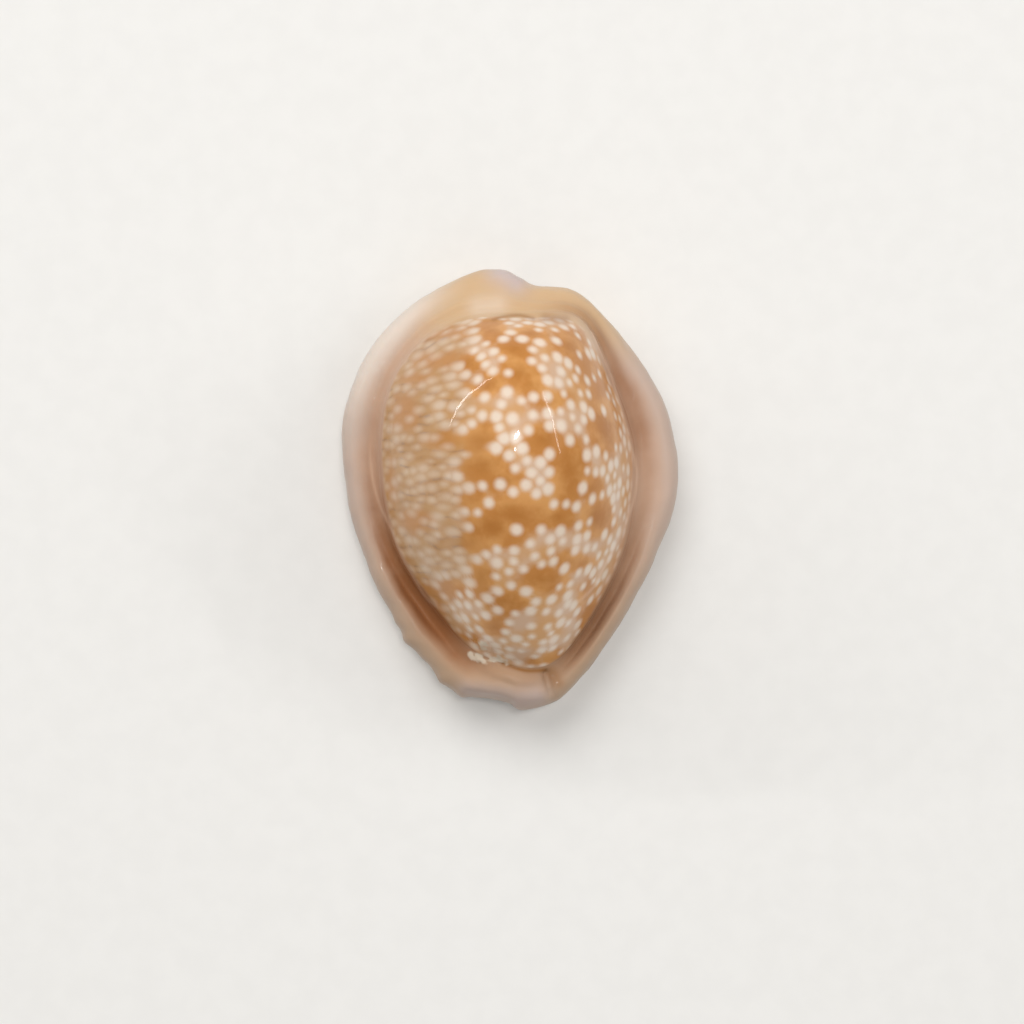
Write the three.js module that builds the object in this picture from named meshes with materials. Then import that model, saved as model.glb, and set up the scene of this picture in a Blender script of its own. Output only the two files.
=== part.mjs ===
// A cowrie shell, lying on its base: one solid, grown as one piece.
//
// The shell is a closed skin drawn over rings. The rings start at the crown of
// the dome, spread down to the dome's foot, cross the thick marginal callus,
// turn under its edge, run over the flat base to the toothed lips of the slit,
// and go on inside as the lining of the hollow, up to the ceiling under the
// crown.
//
// Frame, in millimetres: +Z up through the crown, +Y towards the posterior end
// (the blunt end, with the notch), +X towards the columellar side, and -X
// towards the labral side, which is the outer lip. The origin is the centre of
// the footprint, on the surface that the shell lies on.

import * as THREE from "three";
import { LoftGeometry } from "three/addons/geometries/LoftGeometry.js";
import { mergeVertices } from "three/addons/utils/BufferGeometryUtils.js";

// Driving dimensions.
const LENGTH = 24;
const WIDTH = 18.5;
const HEIGHT = 12.2;

const HALF_LENGTH = LENGTH / 2;
const HALF_WIDTH = WIDTH / 2;
const FULL_TURN = 2 * Math.PI;

// Dome. Its crown stands behind the middle of the shell, as in most cowries.
const CROWN = new THREE.Vector2(0.03 * HALF_WIDTH, 0.21 * HALF_LENGTH);
const DOME_CENTRE = new THREE.Vector2(-0.01 * HALF_WIDTH, -0.02 * HALF_LENGTH);
const DOME_FULLNESS = 0.93; // 0 is a shallow bowl, 1 half an ellipsoid
const CROWN_RADIUS = { across: 6.85, along: 9.5 }; // ellipse that the crown rings take

// Hollow.
const LINING_SHARE = 0.84; // radius of the hollow, as a share of the dome's foot
const LINING_FOOT_RISE = 1.2; // from the dome's foot up to the hollow's widest ring
const CROWN_THICKNESS = 1.15;

// Slit between the lips, with the canals that run out through both ends.
const SLIT_POSTERIOR = 0.76 * HALF_LENGTH;
const SLIT_ANTERIOR = -0.8 * HALF_LENGTH;
const SLIT_HALF_WIDTH = { posterior: 0.78, middle: 0.82, anterior: 1.0 };
const CANAL_HEIGHT = { posterior: 3.0, anterior: 2.3 };
const CANAL_ROUNDNESS = 3; // exponent of the arch over a canal
const LABRAL_TEETH = 15;
const COLUMELLAR_TEETH = 13;
const TOOTH_REACH = 0.32; // how far a tooth stands into the slit
const TOOTHLESS_SHARE = 0.05; // of each lip, at either end

// Reach from the widest line to the slit above which set-backs are whole.
const FULL_REACH = 6;

// Stations round the shell.
const STATIONS_PER_TOOTH = 5;
const STATIONS_PER_CANAL = 7;
const MEASURES_PER_POINT = 40; // of the plan's length, from one point to the next

// Plan of the widest line, in halves of the width and length, anticlockwise
// from above. Each run goes on from the one before.
const LABRAL_PLAN = [
  [0.048, 0.963],
  [-0.038, 0.998],
  [-0.285, 0.967],
  [-0.72, 0.75],
  [-0.973, 0.396],
  [-0.978, 0],
  [-0.828, -0.392],
  [-0.656, -0.633],
  [-0.602, -0.704],
  [-0.5, -0.788],
  [-0.403, -0.879],
  [-0.293, -0.935],
];
const ANTERIOR_PLAN = [
  [-0.247, -0.933],
  [-0.118, -0.942],
];
const COLUMELLAR_PLAN = [
  [-0.005, -0.963],
  [0.048, -0.998],
  [0.237, -0.977],
  [0.355, -0.913],
  [0.608, -0.663],
  [0.86, -0.317],
  [1.0, 0.05],
  [0.903, 0.417],
  [0.645, 0.708],
  [0.452, 0.863],
  [0.344, 0.91],
];
const POSTERIOR_PLAN = [
  [0.226, 0.917],
  [0.134, 0.923],
];

// Sizes that change round the shell, every 30 degrees anticlockwise from the
// columellar side: columellar, two between, posterior, two between, labral,
// two between, anterior, two between.
const footRadius = around([
  6.8, 7.35, 9.4, 9.6, 9.3, 7.75, 6.95, 6.9, 7.85, 9.4, 8.3, 6.95,
]);
const footHeight = around([
  4.3, 4.5, 5.4, 6.2, 5.6, 4.8, 4.4, 4.1, 4.1, 4.9, 4.2, 4.1,
]);
const troughHeight = around([
  4.0, 4.15, 5.0, 6.15, 5.3, 4.6, 4.2, 3.6, 3.3, 4.6, 3.4, 3.6,
]);
const crestHeight = around([
  3.9, 4.0, 4.7, 5.7, 4.9, 4.3, 4.0, 3.9, 3.9, 4.3, 3.9, 3.8,
]);
const edgeHeight = around([
  2.3, 2.4, 2.9, 3.9, 3.0, 2.6, 2.4, 2.3, 2.4, 3.2, 2.4, 2.2,
]);

// The slit's middle line, from the anterior to the posterior end: how far it
// lies towards the columellar side.
const slitMiddle = spline([-1.2, -1.55, -1.5, -1.25, -0.75, 1.1]);

/** A smooth closed run through values spaced evenly round the shell. */
function around(values) {
  const count = values.length;
  const value = (k) => values[(k + count) % count];
  return (angle) => {
    const place = THREE.MathUtils.euclideanModulo(angle / FULL_TURN, 1) * count;
    const k = Math.floor(place) % count;
    const run = [value(k - 1), value(k), value(k + 1), value(k + 2)];
    return spline(run)((1 + place - Math.floor(place)) / 3);
  };
}

/** A smooth open run through values spaced evenly from 0 to 1. */
function spline(values) {
  const curve = new THREE.SplineCurve(
    values.map((value, k) => new THREE.Vector2(k, value)),
  );
  return (share) => curve.getPoint(share).y;
}

/** Height over the foot of the dome, from 1 at the crown to 0 at the foot. */
function domeProfile(share) {
  const cut = Math.sqrt(1 - DOME_FULLNESS ** 2);
  const full = Math.sqrt(1 - (DOME_FULLNESS * share) ** 2);
  return (full - cut) / (1 - cut);
}

/** A point of the slit's edge: along is 0 at its anterior end and 1 at its posterior end. */
function slitEdge(along, side) {
  const { posterior, middle, anterior } = SLIT_HALF_WIDTH;
  const halfWidth = spline([anterior, middle, middle, posterior])(along);
  return new THREE.Vector2(
    slitMiddle(along) + side * halfWidth,
    THREE.MathUtils.lerp(SLIT_ANTERIOR, SLIT_POSTERIOR, along),
  );
}

/** How far a tooth stands proud, from 0 in a gap to 1 on a tooth. */
function toothRidge(share, teeth) {
  const fade =
    THREE.MathUtils.smoothstep(share, 0, 2 * TOOTHLESS_SHARE) *
    THREE.MathUtils.smoothstep(1 - share, 0, 2 * TOOTHLESS_SHARE);
  return fade * Math.sin(Math.PI * teeth * share) ** 2;
}

/** The arch of a canal: 0 at its two edges on the base and 1 under its roof. */
function canalArch(share) {
  const off = Math.abs(2 * share - 1);
  return (1 - off ** CANAL_ROUNDNESS) ** (1 / CANAL_ROUNDNESS);
}

/** The stations round the shell, each with its place on every guiding line. */
function makeStations() {
  const plan = [
    ...LABRAL_PLAN,
    ...ANTERIOR_PLAN,
    ...COLUMELLAR_PLAN,
    ...POSTERIOR_PLAN,
  ];
  const edge = new THREE.CatmullRomCurve3(
    plan.map(([x, y]) => new THREE.Vector3(x * HALF_WIDTH, y * HALF_LENGTH, 0)),
    true,
    "centripetal",
  );
  edge.arcLengthDivisions = plan.length * MEASURES_PER_POINT;
  const lengths = edge.getLengths();
  const shareAt = (point) => lengths[point * MEASURES_PER_POINT] / lengths.at(-1);
  const side = (first, points, steps, place) =>
    Array.from({ length: steps }, (_, k) => {
      const share = k / steps;
      const start = shareAt(first);
      const at = edge.getPointAt(start + share * (shareAt(first + points) - start));
      return makeStation(new THREE.Vector2(at.x, at.y), place(share));
    });
  const anteriorStart = LABRAL_PLAN.length;
  const columellarStart = anteriorStart + ANTERIOR_PLAN.length;
  const posteriorStart = columellarStart + COLUMELLAR_PLAN.length;
  return [
    ...side(0, anteriorStart, LABRAL_TEETH * STATIONS_PER_TOOTH, (share) => ({
      slit: slitEdge(1 - share, -1),
      inward: new THREE.Vector2(1, 0),
      ridge: toothRidge(share, LABRAL_TEETH),
      canal: 0,
      fold: 0,
    })),
    ...side(
      anteriorStart,
      ANTERIOR_PLAN.length,
      STATIONS_PER_CANAL,
      (share) => ({
        slit: slitEdge(0, 2 * share - 1),
        inward: new THREE.Vector2(0, 0),
        ridge: 0,
        canal: CANAL_HEIGHT.anterior * canalArch(share),
        fold: 0,
      }),
    ),
    ...side(
      columellarStart,
      COLUMELLAR_PLAN.length,
      COLUMELLAR_TEETH * STATIONS_PER_TOOTH,
      (share) => ({
        slit: slitEdge(share, 1),
        inward: new THREE.Vector2(-1, 0),
        ridge: toothRidge(share, COLUMELLAR_TEETH),
        canal: 0,
        fold: Math.sin(Math.PI * share) ** 2,
      }),
    ),
    ...side(
      posteriorStart,
      POSTERIOR_PLAN.length,
      STATIONS_PER_CANAL,
      (share) => ({
        slit: slitEdge(1, 1 - 2 * share),
        inward: new THREE.Vector2(0, 0),
        ridge: 0,
        canal: CANAL_HEIGHT.posterior * canalArch(share),
        fold: 0,
      }),
    ),
  ];
}

/** One station: its place on the edge, and what follows from the bearing there. */
function makeStation(edge, place) {
  const bearing = Math.atan2(edge.y - DOME_CENTRE.y, edge.x - DOME_CENTRE.x);
  const out = new THREE.Vector2(Math.cos(bearing), Math.sin(bearing));
  const radius = footRadius(bearing);
  return {
    ...place,
    edge,
    out,
    footRadius: radius,
    foot: DOME_CENTRE.clone().addScaledVector(out, radius),
    lining: DOME_CENTRE.clone().addScaledVector(out, radius * LINING_SHARE),
    footHeight: footHeight(bearing),
    troughHeight: troughHeight(bearing),
    crestHeight: crestHeight(bearing),
    edgeHeight: edgeHeight(bearing),
  };
}

/** A point between two places in plan, at a height. */
function between(from, to, share, height) {
  const at = from.clone().lerp(to, share);
  return new THREE.Vector3(at.x, at.y, height);
}

/**
 * A point of a dome. Its rings start as ellipses about the crown and slide, as
 * they spread, to the foot's own outline.
 */
function domePoint(s, share, scale, height) {
  const ellipse = 1 / Math.hypot(
    s.out.x / CROWN_RADIUS.across,
    s.out.y / CROWN_RADIUS.along,
  );
  const radius = THREE.MathUtils.lerp(ellipse, s.footRadius, share ** 2);
  const centre = CROWN.clone().lerp(DOME_CENTRE, share ** 2);
  const at = centre.addScaledVector(s.out, radius * scale * share);
  return new THREE.Vector3(at.x, at.y, height);
}

/** Rings of the dome, from the crown to its foot. */
function domeRings() {
  return [0, 0.12, 0.28, 0.45, 0.61, 0.76, 0.88, 0.96, 1].map((share) => (s) => {
    const rise = (HEIGHT - s.footHeight) * domeProfile(share);
    return domePoint(s, share, 1, s.footHeight + rise);
  });
}

/** Rings of the marginal callus: trough, crest, shoulder and widest line. */
function marginRings() {
  const shoulder = (s, drop) =>
    THREE.MathUtils.lerp(s.crestHeight, s.edgeHeight, drop);
  return [
    (s) => between(s.foot, s.edge, 0.26, s.troughHeight),
    (s) => between(s.foot, s.edge, 0.6, s.crestHeight),
    (s) => between(s.foot, s.edge, 0.85, shoulder(s, 0.2)),
    (s) => between(s.foot, s.edge, 0.96, shoulder(s, 0.55)),
    (s) => between(s.foot, s.edge, 1, s.edgeHeight),
  ];
}

/** How far set-backs shrink at a station, where the base is narrow near an end. */
function narrowing(s) {
  return Math.min(1, s.edge.distanceTo(s.slit) / FULL_REACH);
}

/** Rings of the base, from under the widest line to where the teeth start. */
function baseRings() {
  const ring = (inset, height) => (s) => {
    const share = (inset * narrowing(s)) / s.edge.distanceTo(s.slit);
    return between(s.edge, s.slit, share, Math.max(height(s), s.canal));
  };
  return [
    ring(0.22, (s) => 0.52 * s.edgeHeight),
    ring(0.85, (s) => 0.22 * s.edgeHeight),
    ring(1.9, (s) => 0.08 * s.edgeHeight),
    ring(3.3, (s) => 0.02 * s.edgeHeight),
  ];
}

/** Rings of the lips, over the teeth and into the slit. */
function lipRings() {
  const ring = (setBack, gapHeight, toothHeight, reach, lift) => (s) => {
    const away = s.edge.clone().sub(s.slit).normalize();
    const at = s.slit
      .clone()
      .addScaledVector(away, setBack * narrowing(s))
      .addScaledVector(s.inward, reach * s.ridge);
    const height = THREE.MathUtils.lerp(gapHeight, toothHeight, s.ridge);
    return new THREE.Vector3(at.x, at.y, Math.max(height, s.canal + lift));
  };
  return [
    ring(2.6, 0, 0, 0, 0),
    ring(1.3, 0, 0, 0, 0),
    ring(0.5, 0.34, 0.02, 0, 0),
    ring(0.1, 0.85, 0.3, TOOTH_REACH, 0.05),
    ring(0, 1.6, 1.3, TOOTH_REACH, 0.2),
    ring(0.15, 2.3, 2.3, 0, 0.45),
  ];
}

/** Rings of the hollow, past the columellar fold and up to the ceiling. */
function liningRings() {
  // Share of the way from the slit to the widest ring, and height, away from
  // the fold and on it. The fold stands up from the columellar lip and curls
  // over a pocket.
  const rise = [
    { plain: [0.12, 2.6], fold: [0.0, 3.2] },
    { plain: [0.3, 2.9], fold: [0.02, 4.8] },
    { plain: [0.5, 3.2], fold: [0.14, 6.2] },
    { plain: [0.68, 3.6], fold: [0.32, 6.6] },
    { plain: [0.84, 4.2], fold: [0.44, 5.7] },
    { plain: [0.95, 4.9], fold: [0.47, 4.3] },
    { plain: [0.99, 5.4], fold: [0.75, 3.7] },
  ];
  const walls = rise.map(({ plain, fold }) => (s) => {
    const share = THREE.MathUtils.lerp(plain[0], fold[0], s.fold);
    const height = THREE.MathUtils.lerp(plain[1], fold[1], s.fold);
    return between(s.slit, s.lining, share, Math.max(height, s.canal + 0.6));
  });
  const ceiling = [1, 0.93, 0.78, 0.45, 0].map((share) => (s) => {
    const start = s.footHeight + LINING_FOOT_RISE;
    const top = HEIGHT - CROWN_THICKNESS;
    const height = start + (top - start) * domeProfile(share);
    return domePoint(s, share, LINING_SHARE, height);
  });
  return [...walls, ...ceiling];
}

/** The skin with its first and last rings, which are points, closed to poles. */
function closed(skin) {
  const bare = new THREE.BufferGeometry();
  bare.setAttribute("position", skin.getAttribute("position"));
  bare.setIndex(skin.getIndex());
  const merged = mergeVertices(bare, 1e-3);
  const corners = Array.from(merged.getIndex().array);
  const kept = [];
  for (let k = 0; k < corners.length; k += 3) {
    const face = corners.slice(k, k + 3);
    if (new Set(face).size === 3) {
      kept.push(...face);
    }
  }
  merged.setIndex(kept);
  return merged;
}

/** The shell's skin, moved so that its footprint is centred on the origin. */
function shellGeometry() {
  const stations = makeStations().reverse();
  const rings = [
    ...domeRings(),
    ...marginRings(),
    ...baseRings(),
    ...lipRings(),
    ...liningRings(),
  ];
  const sections = rings.map((ring) => stations.map(ring));
  const geometry = closed(new LoftGeometry(sections));
  geometry.computeBoundingBox();
  const middle = geometry.boundingBox.getCenter(new THREE.Vector3());
  geometry.translate(-middle.x, -middle.y, -geometry.boundingBox.min.z);
  return geometry;
}

const shell = new THREE.Mesh(
  shellGeometry(),
  new THREE.MeshStandardMaterial({
    color: 0xd9b48a,
    roughness: 0.25,
    metalness: 0,
  }),
);
shell.name = "shell";

const cowrie = new THREE.Group();
cowrie.add(shell);

export default cowrie;
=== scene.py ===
"""The looks of a cowrie shell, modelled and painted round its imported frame.

The shell is one closed skin. It starts at the crown, spreads down the dome, crosses the
thick marginal callus, turns under its edge, runs over the base to the toothed lips of the
slit and goes on inside as the lining of the hollow. The classes draw it as rings through
stations that stand round the shell, and a sphere is pushed onto those rings.

Lengths in the classes are millimetres at the drawn height. Frame: +Z up through the crown,
+Y to the posterior end, +X to the columellar side, -X to the outer lip.
"""

import logging
import math
from dataclasses import dataclass, field
from enum import Enum
from typing import Any, Sequence

import bmesh
import bpy
import numpy as np
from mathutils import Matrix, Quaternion, Vector, noise


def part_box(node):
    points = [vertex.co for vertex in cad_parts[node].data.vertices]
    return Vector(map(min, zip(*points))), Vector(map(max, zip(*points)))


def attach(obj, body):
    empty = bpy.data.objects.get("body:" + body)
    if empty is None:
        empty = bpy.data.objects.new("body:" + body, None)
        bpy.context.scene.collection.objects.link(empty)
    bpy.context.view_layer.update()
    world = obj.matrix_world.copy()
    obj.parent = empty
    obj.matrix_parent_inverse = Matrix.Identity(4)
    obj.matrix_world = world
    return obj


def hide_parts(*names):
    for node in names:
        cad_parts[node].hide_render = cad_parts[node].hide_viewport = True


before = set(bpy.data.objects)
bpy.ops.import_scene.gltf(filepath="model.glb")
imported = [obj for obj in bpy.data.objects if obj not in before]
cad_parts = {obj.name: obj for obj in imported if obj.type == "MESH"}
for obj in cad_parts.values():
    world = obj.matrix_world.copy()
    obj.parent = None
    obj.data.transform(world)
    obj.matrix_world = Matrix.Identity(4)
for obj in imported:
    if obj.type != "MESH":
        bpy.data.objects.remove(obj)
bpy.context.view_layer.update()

LOG = logging.getLogger("cowrie")
DRAWN_HEIGHT = 12.2
FULL_TURN = 2 * math.pi
FULL_REACH = 6.0  # from the widest line to the slit above which set-backs are whole
Field = np.ndarray
Points = tuple[tuple[float, float], ...]
Scale = tuple[float, float, float]
Paint = tuple[float, float, float, float]


# Curves


def smoothstep(value: Field, low: float, high: float) -> Field:
    """Eased step from 0 at one value to 1 at another.

    Args:
        value: where to take the step.
        low: value that gives 0.
        high: value that gives 1, above or below the first.

    Returns:
        The step, between 0 and 1.
    """
    share = np.clip((value - low) / (high - low), 0.0, 1.0)
    return share * share * (3.0 - 2.0 * share)


def mix(start: Field | float, end: Field | float, share: Field | float) -> Field:
    """The value that lies a share of the way from a start to an end."""
    return start + (end - start) * share


def through(before: Field, start: Field, end: Field, after: Field, share: Field) -> Field:
    """Centripetal curve from one point to the next, which doesn't overshoot.

    Args:
        before: points one step back.
        start: points where the span starts.
        end: points where the span ends.
        after: points one step on.
        share: how far along the span, from 0 to 1.

    Returns:
        Points of the curve.
    """
    gaps = [
        np.maximum(np.linalg.norm(b - a, axis=-1, keepdims=True), 1e-9) ** 0.5
        for a, b in ((before, start), (start, end), (end, after))
    ]
    chord = (end - start) / gaps[1]
    leave = gaps[1] * ((start - before) / gaps[0] - (end - before) / (gaps[0] + gaps[1]) + chord)
    arrive = gaps[1] * (chord - (after - start) / (gaps[1] + gaps[2]) + (after - end) / gaps[2])
    cubic = 2 * start - 2 * end + leave + arrive
    square = 3 * end - 3 * start - 2 * leave - arrive
    return start + share * (leave + share * (square + share * cubic))


def even(before: Field, start: Field, end: Field, after: Field, share: Field) -> Field:
    """Smooth curve from one value to the next, for values that stand at even steps.

    Args:
        before: values one step back.
        start: values where the span starts.
        end: values where the span ends.
        after: values one step on.
        share: how far along the span, from 0 to 1.

    Returns:
        Values of the curve.
    """
    bend = 2 * before - 5 * start + 4 * end - after
    turn = 3 * (start - end) + after - before
    return start + 0.5 * share * (end - before + share * (bend + share * turn))


@dataclass(frozen=True)
class ByBearing:
    """A size that changes round the shell.

    The values stand at even bearings, anticlockwise from the columellar side: columellar,
    two between, posterior, two between, labral, two between, anterior, two between.
    """

    values: tuple[float, ...]

    def at(self, bearing: Field) -> Field:
        """The size at each bearing, on a smooth closed run through the values.

        Args:
            bearing: angles in radians, anticlockwise from the columellar side.

        Returns:
            The sizes.
        """
        values = np.array(self.values)
        count = len(values)
        place = (bearing / FULL_TURN % 1.0) * count
        step = np.floor(place).astype(int)
        return even(*(values[(step + k) % count] for k in (-1, 0, 1, 2)), place - step)


@dataclass(frozen=True)
class Lengthwise:
    """A size that changes along the slit, from its anterior to its posterior end."""

    values: tuple[float, ...]

    def at(self, along: Field) -> Field:
        """The size at each place along the slit.

        Args:
            along: places from 0, anterior, to 1, posterior.

        Returns:
            The sizes.
        """
        values = np.array(self.values)
        last = len(values) - 1
        place = np.clip(along, 0.0, 1.0) * last
        step = np.minimum(np.floor(place).astype(int), last - 1)
        return even(*(values[np.clip(step + k, 0, last)] for k in (-1, 0, 1, 2)), place - step)


@dataclass(frozen=True)
class ClosedLine:
    """A smooth closed line in plan, through points in halves of the width and length."""

    points: Points
    half_width: float = 9.25
    half_length: float = 12.0
    fineness: int = 48

    def trace(self) -> Field:
        """Draws the line finely, from its first point and back to it.

        Returns:
            An array of plan points.
        """
        corners = np.array(self.points) * (self.half_width, self.half_length)
        share = np.arange(self.fineness)[:, None] / self.fineness
        spans = [
            through(*(np.roll(corners, -k, axis=0)[step] for k in (-1, 0, 1, 2)), share)
            for step in range(len(corners))
        ]
        return np.vstack([*spans, corners[:1]])

    def run(self, first: int, last: int, steps: int) -> Field:
        """Evenly spaced points from one of the line's own points to a later one.

        Args:
            first: index of the point where the run starts.
            last: index of the point where it ends, which is left out.
            steps: how many points to give.

        Returns:
            An array of plan points.
        """
        line = self.trace()[first * self.fineness : last * self.fineness + 1]
        lengths = np.r_[0.0, np.cumsum(np.linalg.norm(np.diff(line, axis=0), axis=1))]
        places = np.arange(steps) / steps * lengths[-1]
        return np.column_stack([np.interp(places, lengths, line[:, k]) for k in (0, 1)])

    def radius(self, centre: Field, bearing: Field) -> Field:
        """Measures how far the line stands from a centre.

        Args:
            centre: the plan point to measure from.
            bearing: angles to measure at, in radians.

        Returns:
            The distance at each bearing.
        """
        line = self.trace()[:-1] - centre
        turn = np.arctan2(line[:, 1], line[:, 0])
        order = np.argsort(turn)
        return np.interp(bearing, turn[order], np.hypot(*line.T)[order], period=FULL_TURN)


# Stations round the shell


class Side(Enum):
    """A stretch of the way round the shell."""

    LABRAL = "labral"
    ANTERIOR = "anterior"
    COLUMELLAR = "columellar"
    POSTERIOR = "posterior"


@dataclass
class Stations:
    """The lines that guide the skin, each with one value or plan point for every station."""

    edge: Field
    out: Field
    bearing: Field
    foot_radius: Field
    slit: Field
    inward: Field
    ridge: Field
    canal: Field
    fold: Field

    @property
    def reach(self) -> Field:
        """From the widest line to the slit, in plan."""
        return np.linalg.norm(self.edge - self.slit, axis=1)

    @property
    def narrowing(self) -> Field:
        """How far set-backs shrink where the base is narrow, near the ends."""
        return np.minimum(1.0, self.reach / FULL_REACH)

    def ring(self, plan: Field, height: Field | float) -> Field:
        """Points of a ring, from plan points and heights."""
        return np.column_stack([plan, np.broadcast_to(height, len(plan))])


@dataclass(frozen=True)
class Slit:
    """The slit between the lips, its teeth, and the canals that run out at both ends."""

    anterior: float = -9.6
    posterior: float = 9.12
    middle: Lengthwise = Lengthwise((-1.2, -1.55, -1.5, -1.25, -0.75, 1.1))
    half_width: Lengthwise = Lengthwise((1.0, 0.82, 0.82, 0.78))
    labral_teeth: int = 15
    columellar_teeth: int = 13
    stations_per_tooth: int = 14
    stations_per_canal: int = 38
    toothless: float = 0.1
    anterior_arch: float = 2.3
    posterior_arch: float = 3.0
    arch_squareness: float = 3.0

    def point(self, along: Field, side: Field | float) -> Field:
        """Plan points of the slit's edge, from -1 on the labral side to 1 opposite."""
        across = self.middle.at(along) + side * self.half_width.at(along)
        return np.column_stack([across, mix(self.anterior, self.posterior, along)])

    def ridges(self, share: Field, teeth: int) -> Field:
        """How far the lip stands proud: 0 in a gap, 1 along the top of a tooth."""
        fade = smoothstep(share, 0.0, self.toothless) * smoothstep(1 - share, 0.0, self.toothless)
        return fade * np.sin(math.pi * teeth * share) ** 2

    def arch(self, share: Field) -> Field:
        """Height of a canal's roof as a share of its greatest."""
        off = np.abs(2.0 * share - 1.0)
        return (1.0 - off**self.arch_squareness) ** (1 / self.arch_squareness)


@dataclass(frozen=True)
class Plan:
    """The shell from above: its widest line and the outline of the dome's foot."""

    labral: Points = (
        (0.048, 0.963), (-0.038, 0.998), (-0.285, 0.967), (-0.72, 0.75),
        (-0.973, 0.396), (-0.978, 0.0), (-0.828, -0.392), (-0.656, -0.633),
        (-0.602, -0.704), (-0.5, -0.788), (-0.403, -0.879), (-0.293, -0.94),
    )
    anterior: Points = ((-0.247, -0.945), (-0.118, -0.956))
    columellar: Points = (
        (-0.005, -0.976), (0.048, -0.998), (0.237, -0.977), (0.355, -0.913),
        (0.608, -0.663), (0.86, -0.317), (1.0, 0.05), (0.903, 0.417),
        (0.645, 0.708), (0.452, 0.863), (0.344, 0.91),
    )
    posterior: Points = ((0.226, 0.917), (0.134, 0.923))
    foot: Points = (
        (0.719, 0.183), (0.584, 0.504), (0.4, 0.765), (0.065, 0.79),
        (-0.238, 0.779), (-0.476, 0.69), (-0.686, 0.48), (-0.757, 0.183),
        (-0.686, -0.225), (-0.476, -0.5), (-0.19, -0.735), (0.15, -0.803),
        (0.285, -0.76), (0.53, -0.5), (0.681, -0.225),
    )
    centre: tuple[float, float] = (-0.09, -0.24)

    def stations(self, slit: Slit) -> Stations:
        """Sets the stations round the shell.

        Args:
            slit: the slit that the base runs to.

        Returns:
            Stations that run anticlockwise from the posterior canal's labral side.
        """
        runs = {
            Side.LABRAL: self.labral,
            Side.ANTERIOR: self.anterior,
            Side.COLUMELLAR: self.columellar,
            Side.POSTERIOR: self.posterior,
        }
        steps = {
            Side.LABRAL: slit.labral_teeth * slit.stations_per_tooth,
            Side.ANTERIOR: slit.stations_per_canal,
            Side.COLUMELLAR: slit.columellar_teeth * slit.stations_per_tooth,
            Side.POSTERIOR: slit.stations_per_canal,
        }
        widest = ClosedLine(tuple(point for run in runs.values() for point in run))
        edges, places, first = [], [], 0
        for side, run in runs.items():
            share = np.arange(steps[side]) / steps[side]
            edges.append(widest.run(first, first + len(run), steps[side]))
            places.append(self._places(side, share, slit))
            first += len(run)
        edge = np.vstack(edges)
        towards = edge - self.centre
        bearing = np.arctan2(towards[:, 1], towards[:, 0])
        lines = {key: np.concatenate([place[key] for place in places]) for key in places[0]}
        foot = ClosedLine(self.foot).radius(np.array(self.centre), bearing)
        out = towards / np.linalg.norm(towards, axis=1, keepdims=True)
        return Stations(edge=edge, out=out, bearing=bearing, foot_radius=foot, **lines)

    def _places(self, side: Side, share: Field, slit: Slit) -> dict[str, Field]:
        """Works out what the slit is like along one side.

        Args:
            side: the stretch of the way round.
            share: how far along it each station stands, from 0 to 1.
            slit: the slit.

        Returns:
            The lines of the stations that follow from the slit.
        """
        none = np.zeros_like(share)
        still = np.column_stack([none, none])
        lines = {"inward": still, "ridge": none, "canal": none, "fold": none}
        if side is Side.LABRAL:
            lines["slit"] = slit.point(1 - share, -1.0)
            lines["inward"] = still + (1.0, 0.0)
            lines["ridge"] = slit.ridges(share, slit.labral_teeth)
        elif side is Side.COLUMELLAR:
            lines["slit"] = slit.point(share, 1.0)
            lines["inward"] = still + (-1.0, 0.0)
            lines["ridge"] = slit.ridges(share, slit.columellar_teeth)
            lines["fold"] = np.sin(math.pi * share) ** 2
        elif side is Side.ANTERIOR:
            lines["slit"] = slit.point(none, 2 * share - 1)
            lines["canal"] = slit.anterior_arch * slit.arch(share)
        else:
            lines["slit"] = slit.point(none + 1.0, 1 - 2 * share)
            lines["canal"] = slit.posterior_arch * slit.arch(share)
        return lines


# Rings of the skin


@dataclass
class Ring:
    """One guiding ring: its points, its place on the way over the skin, and its steps.

    The place counts 0 at the crown, 1 at the dome's foot, 2 at the widest line, 3 at the
    slit's edge and 4 at the hollow's widest ring. The steps are the mesh rings that it
    takes to come here from the ring before.
    """

    points: Field
    place: float
    steps: int


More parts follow.
